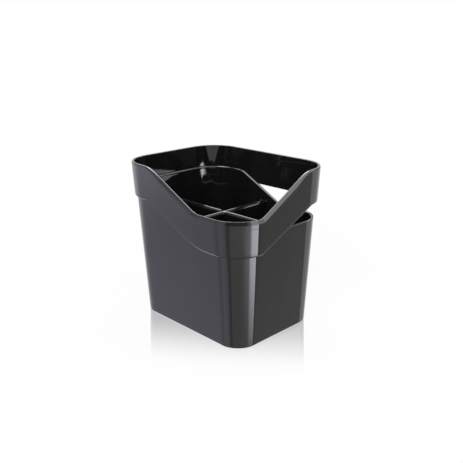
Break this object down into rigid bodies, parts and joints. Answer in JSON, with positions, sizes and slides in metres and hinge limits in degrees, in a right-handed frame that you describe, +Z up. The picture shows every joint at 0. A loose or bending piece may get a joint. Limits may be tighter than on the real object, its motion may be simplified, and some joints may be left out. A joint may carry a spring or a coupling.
{
  "type": "storage caddy",
  "caption": "Tapered storage caddy with a wrap-round collar, a window grip under it and a lift-out cross divider.",
  "frame": {"origin": "middle of the underside, on the surface the caddy stands on", "axes": "+X along the long side towards the low side of the collar, +Y towards the back, +Z up"},
  "size_m": [0.1438, 0.1118, 0.136],
  "materials": {
    "bin_plastic": "glossy moulded black",
    "collar_plastic": "glossy moulded black",
    "divider_plastic": "glossy moulded black"
  },
  "bodies": {
    "caddy": {"bin_shell": "bin_plastic", "collar_band": "collar_plastic"},
    "long_plate": {"divider_long": "divider_plastic"},
    "short_plate": {"divider_short": "divider_plastic"}
  },
  "joints": [
    {"name": "divider_lift", "type": "slide", "parent": "caddy", "child": "long_plate", "axis": [0, 0, 1], "range_m": [0, 0.14]},
    {"name": "short_plate_lift", "type": "slide", "parent": "long_plate", "child": "short_plate", "axis": [0, 0, 1], "range_m": [0, 0.095]}
  ]
}
